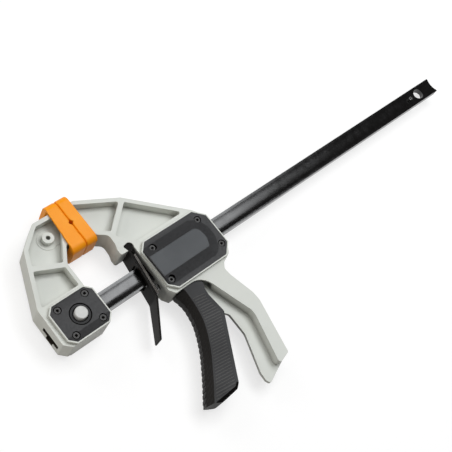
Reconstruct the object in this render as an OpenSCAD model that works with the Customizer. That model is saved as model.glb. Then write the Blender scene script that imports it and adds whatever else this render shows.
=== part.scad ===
// Quick release bar clamp, lying on its back with the covers up.
// X runs along the bar to its free end, Y from the bar to the jaw tips, Z through the thickness.
// The origin lies on the bar's centre line, in the plane where the closed pads meet.

/* [Bar] */
// Width of the bar
bar_w = 17; // [15:0.5:18]
// Thickness of the bar over its flat rims
bar_t = 8; // [7:0.25:8.5]
// Depth of the rolled hollow in each broad face
bar_dish = 1.5; // [0.5:0.1:2]
// Width of the flat rim beside each hollow
bar_rim = 1.5; // [1:0.1:2.5]
// Length of the bar beyond the stop pin's centre
bar_tail = 39; // [34:1:60]
// Diameter of the hanging hole
hang_hole_d = 11.6; // [8:0.1:12]
// Distance from the hanging hole's centre to the free end
hang_hole_inset = 24; // [15:0.5:25]
// Diameter of the stop pin
stop_pin_d = 4; // [3:0.25:5]
// Height of the stop pin over the bar's rims
stop_pin_proud = 1.2; // [0.8:0.1:2]

/* [Jaws] */
// Widest opening between the pads
opening_max = 293; // [150:1:600]
// Distance from the bar's centre line to the middle of the pads
throat = 68.7; // [66:0.1:78]
// Thickness of both jaws
jaw_t = 22.8; // [22:0.1:25]
// Thickness of the web between the moulded pockets
web_t = 4.8; // [3:0.1:7]
// Width of the rims round the moulded pockets
jaw_rim = 3.6; // [3:0.1:4.5]
// Width of the rib between two pockets
rib_w = 4.5; // [3:0.1:6]
// Reach of the fixed jaw's outer wall beyond its cover
outer_wall = 5; // [3.5:0.1:7]
// Distance from the pads' plane to the fixed jaw's inner edge
inner_edge = 24.2; // [23:0.1:25]
// Height that the cover frames stand over the jaws
land_step = 3.05; // [2:0.05:4]
// Radius of the boss beside the fixed pad
tip_boss_r = 5; // [4:0.1:6]

/* [Pads] */
// Height of a pad along the jaw
pad_h = 47.4; // [46:0.1:49]
// Depth of a pad's wall beside the jaw tip
pad_side = 2.2; // [1.5:0.1:3]
// Thickness of a pad at its clamping face
pad_face = 3; // [2:0.1:4]
// Thickness of a pad under the jaw tip
pad_floor = 9.7; // [8:0.1:10]
// Thickness of a pad over the jaw tip
pad_roof = 7.8; // [7:0.1:9]
// Reach of the fixed pad along its lower edge
fixed_pad_reach = 14.1; // [12:0.1:14.4]
// Reach of the fixed pad along its upper edge
fixed_pad_top = 11; // [9:0.1:14]
// Reach of the moving pad along its lower edge
moving_pad_reach = 11.1; // [9:0.1:11.4]
// Reach of the moving pad along its upper edge
moving_pad_top = 10.8; // [9:0.1:11.4]
// Corner radius of a pad
pad_corner = 6; // [2:0.5:7]
// Depth of the widened mouth of a pad's hollow
pad_mouth = 4.5; // [2:0.1:5]
// Depth of the vee across each clamping face
pad_vee = 2.3; // [1:0.1:2.5]

/* [Covers and screws] */
// Thickness of both covers
cover_t = 2.6; // [2.2:0.1:3.2]
// Length of the fixed jaw's cover along the bar
lock_cover_l = 41.5; // [40:0.1:44]
// Height of the fixed jaw's cover across the bar
lock_cover_h = 34.6; // [34:0.1:38]
// Corner cut of the fixed jaw's cover
lock_cover_cut = 5.2; // [4:0.1:6]
// Length of the housing cover along the bar
cover_l = 71; // [70:0.1:74]
// Height of the housing cover above the bar's centre line
cover_up = 21.4; // [21:0.1:23]
// Height of the housing cover below the bar's centre line
cover_down = 26.6; // [26:0.1:28]
// Width of the frame round each cover
frame_w = 1; // [0.8:0.1:1.6]
// Diameter of a screw head
screw_head_d = 5.4; // [4.5:0.1:5.8]
// Height of a screw head
screw_head_h = 1.2; // [0.8:0.1:1.4]
// Diameter of a screw shank
screw_d = 2.9; // [2:0.1:3.2]
// Length of a screw shank under its head
screw_l = 9; // [6:0.5:12]
// Length of the bare badge plate
badge_l = 55.4; // [45:0.2:56]
// Height of the bare badge plate
badge_h = 20.3; // [16:0.1:22]
// Thickness of the badge plate
badge_t = 0.8; // [0.5:0.1:1]
// Rise of the housing cover's plateau under the badge
plateau_rise = 2.8; // [1:0.1:3.2]
// Width of the plateau's sloped sides
plateau_slope = 9.1; // [5:0.1:9.4]
// Half of the height of the flat band across the fixed jaw's cover
lock_band = 10.8; // [10:0.1:12]
// Fall of the fixed jaw's cover from that band to its long edges
lock_fall = 0.8; // [0.3:0.1:1]

/* [Lock button] */
// Diameter of the lock button's head
button_d = 10.9; // [9:0.1:11.5]
// Height of the button over the cover
button_proud = 3.8; // [3:0.1:6]
// Travel of the button
button_travel = 5; // [5:0.1:6]
// Diameter of the collar that locks in the bar
collar_d = 8; // [7:0.1:8.6]
// Diameter of the button's waist
waist_d = 4.6; // [3.5:0.1:5.5]
// Outer diameter of the bush's flange
bush_flange_d = 17; // [16.8:0.1:18.2]
// Depth of the dished mouth of the bush
bush_mouth = 2.25; // [1.5:0.05:2.4]
// Gap round the bush in its cover
ring_gap = 0.75; // [0.3:0.05:0.9]

/* [Handle] */
// Drop from the housing's arch to the bend of the handle
handle_upper = 38.5; // [36:0.5:44]
// Length of the handle below its bend
handle_lower = 46; // [40:0.5:54]
// Width of the handle's back flange
flange_w = 12.6; // [10:0.1:14]
// Thickness of the handle's web
handle_web_t = 3.4; // [2:0.1:5]

/* [Trigger] */
// Thickness of the trigger
trigger_t = 18.8; // [17:0.1:19]
// Thickness of the trigger's side walls
trigger_side = 2.2; // [1.6:0.1:3]
// Thickness of the trigger's front wall behind its ridge
trigger_front = 3; // [2:0.1:4.5]
// Height of the ridge along the trigger's front
trigger_ridge = 5.2; // [1:0.1:6]
// Width of the flat along that ridge
trigger_flat = 7.4; // [4:0.1:10]
// Drop from the trigger's head to its bend
trigger_upper = 28; // [24:0.5:30]
// Drop from the bend to the trigger's toe
trigger_lower = 60; // [50:0.5:64]
// Diameter of the trigger's pivot pin
trigger_pin_d = 5; // [4:0.1:5.4]
// Radius of the nose that pushes the drive plates
nose_r = 3; // [2.5:0.1:3.4]
// Distance from the pivot to the nose
nose_drop = 8.4; // [8:0.1:9]

/* [Drive and brake] */
// Number of drive plates
drive_plates = 3; // [3:1:3]
// Thickness of a drive plate
drive_plate_t = 2; // [1.5:0.1:2.4]
// Width of a drive plate through the thickness
drive_plate_w = 13; // [12:0.1:14]
// Thickness of the brake plate and of the lever's blade
brake_t = 1.8; // [1.2:0.1:2]
// Gap between the lever's blade and the brake plate
rivet_collar = 0.5; // [0.3:0.1:1]
// Width of the lever's blade through the thickness
lever_w = 20.8; // [18:0.1:21.4]
// Width of the lever's tab at its tip
tab_tip_w = 14.4; // [10:0.1:16]
// Length of the lever's tab
tab_l = 36; // [28:0.5:38]
// Bend of the lever's tab away from the handle, in degrees
tab_bend = 25; // [15:0.5:30]
// Radius of the round head that the lever turns on
lever_head_r = 3.9; // [3.4:0.1:4]
// Lean of the lever at rest, in degrees
lever_lean = 8.1; // [7:0.1:9]
// Wire diameter of the springs
wire_d = 0.9; // [0.6:0.05:1]

/* [Fits] */
// Gap between two pieces that slide on each other
slide_gap = 0.2; // [0.1:0.01:0.25]
// Gap between a fixed piece and its seat
seat_gap = 0.05; // [0.02:0.01:0.1]
// Radial gap of a turning or pushing fit
turn_gap = 0.05; // [0.02:0.01:0.08]

/* [Hidden] */
$fn = 64;

shell_grey = [0.83, 0.835, 0.815];
cover_black = [0.2, 0.2, 0.205];
badge_grey = [0.34, 0.35, 0.36];
pad_orange = [1, 0.58, 0.12];
trigger_black = [0.17, 0.17, 0.175];
blued_steel = [0.13, 0.135, 0.15];
bright_steel = [0.72, 0.73, 0.74];

// heights
jaw_half = jaw_t / 2;
face_z = jaw_half + land_step;
seat_z = face_z - cover_t;
floor_z = -face_z + 2.5;
badge_z = face_z + plateau_rise;

// jaw tips and pads
pad_lo = throat - pad_h / 2;
pad_hi = throat + pad_h / 2;
tip_lo = pad_lo + pad_floor;
tip_hi = pad_hi - pad_roof;
pad_gap = 0.1;
tip_x = pad_gap + pad_face + slide_gap;
pad_half = jaw_half + slide_gap + pad_side;

// fixed jaw, worked out from the lock button's axis
lock_x = -42.6;
lock_left = lock_x - lock_cover_l / 2;
lock_right = lock_x + lock_cover_l / 2;
base_half = lock_cover_h / 2 + frame_w;
base_right = lock_right + frame_w;
base_left = lock_left - outer_wall;
base_cut = lock_cover_cut + 0.7;
bar_start = lock_x - 19.4;

// housing of the moving jaw
cover_x = 34.2;
housing_left = cover_x - frame_w - 0.6;
housing_right = cover_x + cover_l + frame_w + 1.6;
housing_low = -cover_down - frame_w - 1.6;
cavity_z = 9.8;

// bar and its pins
stop_x = housing_right + opening_max + stop_pin_d / 2 + slide_gap;
bar_end = stop_x + bar_tail;
lock_hole_r = collar_d / 2 + 0.1;

// lever, brake and drive
lever_pivot = [housing_left - 3.4, 25.5];
socket_r = lever_head_r + turn_gap;
window_y = -lever_pivot[1];
pivot = [50.5, -13.6];
nose = [pivot[0], pivot[1] - nose_drop];
plates_x = nose[0] + nose_r + 0.35;
plates_top = 17;
plates_low = -24.5;
spring_y = 13.2;
spring_seat_x = 86;
brake_spring_y = -14;
pin_r = trigger_pin_d / 2;

function unit(v) = v / norm(v);
function turned(v, a) = [v[0] * cos(a) - v[1] * sin(a), v[0] * sin(a) + v[1] * cos(a)];
function point(p) = [p[0], p[1]];

// Points of the corner b, between a and c, rounded to the radius r.
function corner(a, b, c, r) =
    let (u = unit(a - b), v = unit(c - b),
         half = acos(max(-1, min(1, u * v))) / 2,
         reach = min(r / tan(half), norm(a - b) * 0.49, norm(c - b) * 0.49),
         centre = b + unit(u + v) * reach / cos(half),
         start = b + u * reach - centre,
         turn = (180 - 2 * half) * sign(cross(b - a, c - b)),
         steps = max(2, ceil(abs(turn) / 12)))
    [for (i = [0 : steps]) centre + turned(start, turn * i / steps)];

// An outline of [x, y, radius] corners as plain points.
function rounded(outline) =
    let (n = len(outline))
    [for (i = [0 : n - 1])
        let (a = outline[(i + n - 1) % n], b = outline[i], c = outline[(i + 1) % n])
        each b[2] > 0 ? corner(point(a), point(b), point(c), b[2]) : [point(b)]];

// Points of a soft curve through the points p, with n steps between each two.
function smooth(p, n) =
    let (last = len(p) - 1)
    concat([for (i = [0 : last - 1], k = [0 : n - 1])
        let (t = k / n, a = p[max(i - 1, 0)], b = p[i], c = p[i + 1], d = p[min(i + 2, last)])
        b + (c - a) * t / 2 + (2 * a - 5 * b + 4 * c - d) * t * t / 2
          + (3 * b - a - 3 * c + d) * t * t * t / 2], [p[last]]);

// The line from a to b, moved to its left by d.
function beside(a, b, d) =
    let (side = turned(unit(point(b) - point(a)), 90) * d) [point(a) + side, point(b) + side];

// The crossing of two lines.
function meet(p, q) =
    let (u = p[1] - p[0], v = q[1] - q[0]) p[0] + u * cross(q[0] - p[0], v) / cross(u, v);

// A pocket's outline between lines that are listed in turn.
function between(lines, r) =
    let (n = len(lines))
    rounded([for (i = [0 : n - 1]) let (p = meet(lines[i], lines[(i + 1) % n])) [p[0], p[1], r]]);

function level(y) = [[0, y], [1, y]];
function upright(x) = [[x, 0], [x, 1]];

// A box outline whose corners are cut: lower left, lower right, upper right, upper left.
function cut_box(x0, y0, x1, y1, cut) =
    [[x0, y0 + cut[0]], [x0 + cut[0], y0], [x1 - cut[1], y0], [x1, y0 + cut[1]],
     [x1, y1 - cut[2]], [x1 - cut[2], y1], [x0 + cut[3], y1], [x0, y1 - cut[3]]];

module slab(points, z0, z1) {
    translate([0, 0, z0]) linear_extrude(z1 - z0) polygon(points);
}

module box(low, high) {
    translate(low) cube(high - low);
}

module post(at, r, z0, z1) {
    translate([at[0], at[1], z0]) cylinder(r = r, h = z1 - z0);
}

// A shape in Y and Z, drawn out along X.
module along_x(x0, x1) {
    translate([x0, 0, 0]) rotate([90, 0, 90]) linear_extrude(x1 - x0) children();
}

module round_box_2d(w, h, r) {
    square([w - 2 * r, h], center = true);
    square([w, h - 2 * r], center = true);
    for (x = [-1, 1], y = [-1, 1])
        translate([x * (w / 2 - r), y * (h / 2 - r)]) circle(r);
}

// Compression spring that stands on the XY plane.
module spring(r, wire, h, turns) {
    per_turn = 20;
    sides = 8;
    rings = turns * per_turn;
    climb = h - wire;
    points = [for (i = [0 : rings], j = [0 : sides - 1])
        let (a = i * 360 / per_turn, b = j * 360 / sides, away = r + wire / 2 * cos(b))
        [away * cos(a), away * sin(a), wire / 2 + climb * i / rings + wire / 2 * sin(b)]];
    faces = concat(
        [[for (j = [0 : sides - 1]) j]],
        [for (i = [0 : rings - 1], j = [0 : sides - 1])
            let (k = (j + 1) % sides)
            [i * sides + j, (i + 1) * sides + j, (i + 1) * sides + k, i * sides + k]],
        [[for (j = [sides - 1 : -1 : 0]) rings * sides + j]]);
    polyhedron(points, faces);
}

module screw() {
    socket_d = 2.6;
    difference() {
        union() {
            cylinder(d = screw_head_d, h = screw_head_h);
            translate([0, 0, -screw_l]) cylinder(d = screw_d, h = screw_l);
        }
        translate([0, 0, screw_head_h * 0.25]) cylinder(d = socket_d, h = screw_head_h, $fn = 6);
    }
}

screw_rise = 0.9;

module cover_screw_hole(at) {
    post(at, screw_d / 2 + seat_gap, seat_z - 1, face_z + 1);
    post(at, screw_head_d / 2 + 0.6, seat_z + screw_rise, badge_z + 1);
}

module screw_at(at) {
    translate([at[0], at[1], seat_z + screw_rise]) screw();
}

module screw_pilot(at) {
    post(at, screw_d / 2 + seat_gap, seat_z + screw_rise - screw_l - 1, face_z + 1);
}

// ---- bar ----

module bar_section() {
    half_chord = bar_w / 2 - bar_rim;
    dish_r = (half_chord * half_chord + bar_dish * bar_dish) / (2 * bar_dish);
    difference() {
        square([bar_w, bar_t], center = true);
        for (s = [-1, 1])
            translate([0, s * (bar_t / 2 - bar_dish + dish_r)]) circle(dish_r, $fn = 200);
    }
}

module bar() {
    color(blued_steel) difference() {
        along_x(bar_start, bar_end) bar_section();
        post([bar_end - hang_hole_inset, 0], hang_hole_d / 2, -bar_t, bar_t);
        post([stop_x, 0], stop_pin_d / 2 + seat_gap, -bar_t, bar_t);
        post([lock_x, 0], lock_hole_r, -bar_t, bar_t);
        box([bar_start - 1, -waist_d / 2 - slide_gap, -bar_t],
            [lock_x, waist_d / 2 + slide_gap, bar_t]);
    }
}

module bar_stop_pin() {
    reach = bar_t / 2 + stop_pin_proud;
    color(blued_steel) post([stop_x, 0], stop_pin_d / 2, -reach, reach);
}

// ---- fixed jaw ----

crown = [-27.5, tip_hi, 4];
shoulder = [-46.8, throat + 0.3, 4];
elbow = [base_left + 0.5, base_half + 3.2, 4];
neck = [-inner_edge, throat - 28, 3];
throat_top = [-14.8, tip_lo, 2];
fixed_outline = [
    [-tip_x, tip_hi, 1], crown, shoulder, elbow,
    [base_left, -base_half + base_cut, 1.5], [base_left + base_cut, -base_half, 1.5],
    [base_right - base_cut, -base_half, 1.5], [base_right, -base_half + base_cut, 1.5],
    [base_right, base_half - base_cut, 1.5], [-inner_edge, base_half - 2.2, 1],
    neck, throat_top, [-tip_x, tip_lo, 1]];

// Rib between the fixed jaw's pockets: the lower edge of the rib, from left to right.
fixed_rib = [[-50.3, throat - 19.2], [-29.2, throat - 28.6]];
tip_boss = [-22, throat];

function lock_screws() =
    [for (sx = [-1, 1], sy = [-1, 1])
        [lock_x + sx * (lock_cover_l / 2 - 7.35), sy * (lock_cover_h / 2 - 5)]];

function lock_frame(grow) =
    let (c = lock_cover_cut + grow * 0.4)
    cut_box(lock_left - grow, -lock_cover_h / 2 - grow, lock_right + grow, lock_cover_h / 2 + grow,
            [c, c, c, c]);

function fixed_upper_pocket() =
    between([beside(fixed_rib[0], fixed_rib[1], rib_w), beside(neck, throat_top, jaw_rim * 0.85),
             upright(-tip_x - 2.5), level(tip_hi - jaw_rim), beside(crown, shoulder, jaw_rim),
             beside(shoulder, elbow, jaw_rim)], 1.6);

function fixed_lower_pocket() =
    between([level(base_half + 2.8), upright(-inner_edge - jaw_rim * 0.85), fixed_rib,
             beside(shoulder, elbow, jaw_rim)], 1.6);

module on_both_sides() {
    children();
    mirror([0, 0, 1]) children();
}

// Boss beside the fixed pad, on a low keyhole-shaped step.
module tip_step() {
    step_r = tip_boss_r + 3.7;
    step_z = web_t / 2 + 0.5;
    post(tip_boss, tip_boss_r, 0, web_t / 2 + 5.5);
    intersection() {
        union() {
            post(tip_boss, step_r, 0, step_z);
            box([tip_boss[0], throat - step_r * 0.88, 0],
                [-tip_x - 2, throat + step_r * 0.88, step_z]);
        }
        slab(rounded(fixed_outline), 0, step_z);
    }
}

module fixed_jaw() {
    slot_z = 0;
    slot_end = base_left + 4.8;
    color(shell_grey) difference() {
        union() {
            difference() {
                union() {
                    slab(rounded(fixed_outline), -jaw_half, jaw_half);
                    slab(lock_frame(frame_w), -face_z, face_z);
                }
                on_both_sides() {
                    slab(fixed_upper_pocket(), web_t / 2, jaw_half + 1);
                    slab(fixed_lower_pocket(), web_t / 2, jaw_half + 1);
                }
            }
            on_both_sides() tip_step();
        }
        post(tip_boss, 1.9, -jaw_half, jaw_half);
        slab(lock_frame(seat_gap), seat_z, face_z + 1);
        slab(lock_frame(-2), -face_z - 1, -face_z + 0.8);
        box([bar_start - 0.1, -bar_w / 2 - slide_gap, -bar_t / 2 - slide_gap],
            [base_right + 1, bar_w / 2 + slide_gap, bar_t / 2 + slide_gap]);
        lock_bores();
        for (at = lock_screws()) screw_pilot(at);
        // moulded core slot, deeper in the middle
        box([base_left - 1, -9.7, slot_z - 5.3], [slot_end, 9.7, slot_z]);
        box([base_left - 1, -4, slot_z - 10.2], [slot_end, 4, slot_z]);
    }
}

// Heights of the lock's parts.
bush_low = bar_t / 2 + slide_gap + 1;
flange_low = bar_t / 2 + button_travel + 0.05;
flange_top = flange_low + 1.2;
flange_r = button_d / 2 + 0.85;
bush_bore_r = flange_r + 0.15;
bush_body_r = bush_bore_r + 1.4;
collar_top = bar_t / 2 - bar_dish - 0.6;
collar_low = -2.2;
lock_spring_r = collar_d / 2 - 0.2 - wire_d / 2;
lock_floor = floor_z + 0.05;

module lock_bores() {
    post([lock_x, 0], bush_body_r + seat_gap, bush_low, face_z + 1);
    post([lock_x, 0], bush_bore_r + 0.15, 0, face_z);
    post([lock_x, 0], collar_d / 2 + 0.2, floor_z, 0);
}

// Section of the fixed jaw's cover: a flat band with a slope on each side.
module lock_cover_section() {
    edge = lock_cover_h / 2 + 1;
    low = face_z - lock_fall * (edge - lock_band) / (edge - 1 - lock_band);
    polygon([[-edge, seat_z], [-edge, low], [-lock_band, face_z], [lock_band, face_z],
             [edge, low], [edge, seat_z]]);
}

module fixed_jaw_cover() {
    color(cover_black) difference() {
        intersection() {
            slab(lock_frame(0), seat_z, face_z);
            along_x(lock_left - 1, lock_right + 1) lock_cover_section();
        }
        post([lock_x, 0], bush_flange_d / 2 + ring_gap, seat_z - 1, face_z + 1);
        for (at = lock_screws()) cover_screw_hole(at);
    }
}

module fixed_jaw_screws() {
    color(bright_steel) for (at = lock_screws()) screw_at(at);
}

module lock_bush() {
    color(cover_black) difference() {
        union() {
            post([lock_x, 0], bush_body_r, bush_low, seat_z + 0.1);
            post([lock_x, 0], bush_flange_d / 2, seat_z, face_z - 0.2);
        }
        post([lock_x, 0], bush_bore_r, bush_low - 1, flange_top + turn_gap);
        post([lock_x, 0], button_d / 2 + turn_gap, bush_low, face_z);
        post([lock_x, 0], bush_flange_d / 2 - 2.1, face_z - 0.2 - bush_mouth, face_z + 1);
    }
}

module lock_button() {
    top = face_z + button_proud;
    color(bright_steel) {
        post([lock_x, 0], button_d / 2, flange_low, top - 0.6);
        translate([lock_x, 0, top - 0.6])
            cylinder(r1 = button_d / 2, r2 = button_d / 2 - 0.6, h = 0.6);
        post([lock_x, 0], flange_r, flange_low, flange_top);
        post([lock_x, 0], waist_d / 2, collar_low, flange_low + 0.1);
        post([lock_x, 0], collar_d / 2, collar_low, collar_top);
        post([lock_x, 0], lock_spring_r - wire_d, collar_low - 2.8, collar_low + 0.1);
    }
}

module lock_spring() {
    color(bright_steel) translate([lock_x, 0, lock_floor])
        spring(lock_spring_r, wire_d, collar_low - 0.05 - lock_floor, 4);
}

// ---- pads ----

// A pad over the tip of a jaw, with its reach along the lower and the upper edge.
module pad(low, top) {
    flare = pad_mouth * 0.7;
    lip = [-low - 1, -low + pad_mouth];
    difference() {
        intersection() {
            translate([0, throat, 0]) along_x(-max(low, top), -pad_gap)
                round_box_2d(pad_h, 2 * pad_half, pad_corner);
            slab([[0, pad_lo - 1], [0, pad_hi + 1], [-top, pad_hi + 1], [-top, pad_hi],
                  [-low, pad_lo], [-low, pad_lo - 1]], -pad_half - 1, pad_half + 1);
        }
        slab([[lip[0], tip_lo - slide_gap - flare], [lip[1], tip_lo - slide_gap],
              [-pad_gap - pad_face, tip_lo - slide_gap], [-pad_gap - pad_face, tip_hi + slide_gap],
              [lip[1] + low - top, tip_hi + slide_gap],
              [lip[0] + low - top, tip_hi + slide_gap + flare],
              [lip[0], tip_hi + slide_gap + flare]],
             -jaw_half - slide_gap, jaw_half + slide_gap);
        slab([[1, throat - pad_vee - 1], [1, throat + pad_vee + 1], [-pad_vee, throat]],
             -pad_half - 1, pad_half + 1);
    }
}

module fixed_jaw_pad() {
    color(pad_orange) pad(fixed_pad_reach, fixed_pad_top);
}

module moving_jaw_pad() {
    color(pad_orange) mirror([1, 0, 0]) pad(moving_pad_reach, moving_pad_top);
}

// ---- moving jaw ----

arch_y = -39;
bend_y = arch_y - handle_upper;
heel_y = bend_y - handle_lower;
arch = [65.2, housing_low, 16];
inner_bend = [82.8, bend_y, 4];
inner_heel = [71.4, heel_y - 4.5, 2.4];
outer_heel = [inner_heel[0] + flange_w + 1, heel_y - 0.9, 1.5];
toe = [58.5, heel_y - 11.9, 2];
apex = [51.5, throat - 2.5, 5];
brow = [99, 23.6, 4];
chin = [12.2, tip_lo - 5.7, 1];
cheek = [20.9, throat - 25.5, 6];
moving_outline = [
    [tip_x, tip_lo, 1], [moving_pad_reach + 0.4, tip_lo, 0.8], chin, cheek,
    [20.3, 33.5, 6], [18.6, 28.5, 3], [18.5, 23, 2], [housing_left, 23, 0],
    [housing_left, housing_low + 5.7, 2], [housing_left + 4, housing_low, 1.5],
    arch, inner_bend, inner_bend - [0.1, 6, 1], inner_heel, outer_heel,
    inner_bend + [flange_w, 2.5, 8], inner_bend + [flange_w - 0.4, 11.5, 4],
    [88.6, arch_y - 4, 6], [87.8, arch_y + 3.5, 5], [91.5, housing_low - 1.6, 3],
    [housing_right - 7, housing_low + 2.4, 6], [housing_right, housing_low + 12.7, 4],
    [housing_right, 12, 3], brow, apex, [14, tip_hi, 4], [tip_x, tip_hi, 1]];

// Left edge of the rib between the moving jaw's pockets, from bottom to top.
moving_rib = [[24.4, throat - 23.9], [46.8, throat - 5.7]];

function moving_front_pocket() =
    between([beside(chin, cheek, jaw_rim), moving_rib, beside(apex, [14, tip_hi], jaw_rim),
             upright(tip_x + 2.5)], 1.6);

function moving_rear_pocket() =
    between([level(cover_up + frame_w + 3.9), beside(brow, apex, jaw_rim),
             beside(moving_rib[1], moving_rib[0], rib_w),
             [lever_pivot + [-3, 13], lever_pivot + [9.5, 0.5]]], 1.6);

// The housing frame grows and shrinks with its cover.
function housing_frame(grow) =
    cut_box(cover_x - grow, -cover_down - grow, cover_x + cover_l + grow, cover_up + grow,
            [7 + grow * 0.4, 8.8 + grow * 0.4, 9.4 + grow * 0.4, 6.9 + grow * 0.4]);

function housing_screw_places() =
    let (x1 = cover_x + cover_l)
    [[cover_x + 5.4, -cover_down + 8.8], [x1 - 5.3, -cover_down + 10.3],
     [x1 - 9.4, cover_up - 8.6], [cover_x + 9.7, cover_up - 8.1]];

handle_web = [
    [58, -31, 1], [59.6, arch_y - 20.5, 8], [68.7, bend_y + 9, 4],
    [68.7, bend_y - 12.5, 12], [57, heel_y, 5], [56.6, heel_y - 7.7, 3], toe,
    [outer_heel[0] - 1.2, outer_heel[1] - 1.2, 1], [inner_bend[0] + 5, bend_y, 0],
    [74, arch_y, 0], [74, -31, 0]];

trigger_mouth = [
    [43.2, -20], [43.2, -34], [60, -44], [68.9, arch_y - 4], [72.5, arch_y + 2.5], [71, -20]];

module housing_cavity() {
    cut = 9;
    difference() {
        slab(cut_box(housing_left + 3.4, -cover_down + 1.2, housing_right - 4, cover_up - 3,
                     [cut, cut, cut, cut]), floor_z, face_z);
        for (at = housing_screw_places()) post(at, screw_d / 2 + 2.2, floor_z - 1, face_z + 1);
        // boss for the trigger's pin and seats for the two springs
        post(pivot, pin_r + 2.5, floor_z - 1, -trigger_t / 2 - slide_gap);
        box([spring_seat_x, spring_y - 5, floor_z - 1], [spring_seat_x + 3, cover_up, 8]);
        box([housing_left, brake_spring_y - 4.6, floor_z - 1], [housing_left + 7, -bar_w / 2, 5]);
    }
}

module moving_jaw() {
    spring_bore_x = housing_left + 5;
    peg_r = 2.2;
    color(shell_grey) difference() {
        union() {
            difference() {
                union() {
                    slab(rounded(moving_outline), -jaw_half, jaw_half);
                    slab(housing_frame(frame_w), -face_z, face_z);
                }
                housing_cavity();
                slab(trigger_mouth, -cavity_z, cavity_z);
            }
            slab(rounded(handle_web), -handle_web_t / 2, handle_web_t / 2);
            along_x(spring_seat_x - 4, spring_seat_x + 1)
                translate([spring_y, 0]) circle(peg_r);
        }
        on_both_sides() {
            slab(moving_front_pocket(), web_t / 2, jaw_half + 1);
            slab(moving_rear_pocket(), web_t / 2, jaw_half + 1);
        }
        slab(housing_frame(seat_gap), seat_z, face_z + 1);
        slab(housing_frame(-2), -face_z - 1, -face_z + 0.8);
        box([housing_left - 1, -bar_w / 2 - slide_gap, -bar_t / 2 - slide_gap],
            [housing_right + 1, bar_w / 2 + slide_gap, bar_t / 2 + slide_gap]);
        // blind end of the trigger's mouth, and a seam line on each side of it
        box([38, housing_low - 1, -6.2], [43.3, housing_low + 3, 6.2]);
        on_both_sides()
            box([housing_left + 2.5, housing_low - 1, 9.5], [47, housing_low + 0.8, 10.5]);
        // socket and mouth for the lever's round head, with a lobe that clears its bend
        post(lever_pivot, socket_r, -jaw_half - 1, jaw_half + 1);
        post(lever_pivot + [-2.7, 1.6], 1.9, -jaw_half - 1, jaw_half + 1);
        box([lever_pivot[0] - 3.1, 18, -jaw_half - 1],
            [lever_pivot[0] + 3.1, lever_pivot[1], jaw_half + 1]);
        along_x(housing_left - 1, spring_bore_x) translate([brake_spring_y, 0]) circle(3.4);
        post(pivot, pin_r + seat_gap, floor_z - 1.5, 0);
        for (at = housing_screw_places()) screw_pilot(at);
    }
}

badge_x = cover_x + 0.9;
badge_y = -2.65;

function badge_outline(grow) =
    let (x0 = badge_x - grow, x1 = badge_x + badge_l + grow,
         y0 = badge_y - badge_h / 2 - grow, y1 = badge_y + badge_h / 2 + grow)
    [[x0, y0, 0.5], [x1 - 3.4, y0, 3], [x1 + 0.3, badge_y - 1.4, 12], [x1 - 2.2, y1, 6],
     [x0, y1, 0.5]];

// How far the badge's outline reaches in the direction a.
function badge_reach(a) =
    max([for (p = rounded(badge_outline(0))) p[0] * cos(a) + p[1] * sin(a)]);

// All that lies under a slope that falls in the direction a, from the badge to the cover's face.
module under_slope(a) {
    edge = badge_reach(a) + 0.3;
    foot = 0.2;
    rotate([0, 0, a - 90]) along_x(-150, 150)
        polygon([[-100, face_z - foot * plateau_rise], [-100, badge_z], [edge, badge_z],
                 [edge + (1 + foot) * plateau_slope, face_z - foot * plateau_rise]]);
}

// Plateau under the badge: it slopes on three sides and ends upright at the cover's left edge.
module badge_plateau() {
    intersection() {
        slab(housing_frame(0), face_z - 0.3, badge_z);
        intersection_for(a = [-90 : 22.5 : 90]) under_slope(a);
    }
}

module housing_cover() {
    color(cover_black) difference() {
        union() {
            slab(housing_frame(0), seat_z, face_z);
            badge_plateau();
            post(pivot, pin_r + 2.5, trigger_t / 2 + slide_gap, seat_z + 1);
        }
        post(pivot, pin_r + seat_gap, 0, seat_z + 0.4);
        slab(rounded(badge_outline(seat_gap)), badge_z - badge_t - seat_gap, badge_z + 1);
        for (at = housing_screw_places()) cover_screw_hole(at);
    }
}

module housing_screws() {
    color(bright_steel) for (at = housing_screw_places()) screw_at(at);
}

module badge_plate() {
    color(badge_grey) slab(rounded(badge_outline(0)), badge_z - badge_t, badge_z - 0.1);
}

// ---- trigger and drive ----

head_y = -32;
knee_y = head_y - trigger_upper;
toe_y = knee_y - trigger_lower;
front_edge = smooth([
    [45.5, -16], [45.6, head_y + 1.8], [45, knee_y + 18], [43.8, knee_y + 9], [41.6, knee_y - 0.5],
    [36.6, knee_y - 12], [29.8, knee_y - 24], [22.4, toe_y + 25.5], [14.9, toe_y + 15.5],
    [7.2, toe_y + 6], [3, toe_y + 0.8]], 4);
trigger_outline = concat(
    [[45.5, -13, 4], [47, -9.4, 2], [54.5, -9.4, 3], [57.5, -16, 3], [60.8, -26, 4],
     [63.9, head_y - 2.6, 2.2], [61.3, head_y - 8.2, 4], [60.8, head_y - 13.5, 8],
     [62.5, knee_y - 4.3, 4],
     [31.5, toe_y + 1.6, 3], [27, toe_y - 1.9, 4], [9, toe_y - 2.9, 8]],
    [for (i = [len(front_edge) - 1 : -1 : 0]) [front_edge[i][0], front_edge[i][1], 0]]);
trigger_hollow = concat(
    [for (p = front_edge) p + [trigger_front, -0.2]],
    [[9, toe_y + 1], [23, toe_y + 1.4], [25.5, toe_y - 4], [75, toe_y - 4], [75, 0],
     [45.5 + trigger_front, 0]]);

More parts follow.
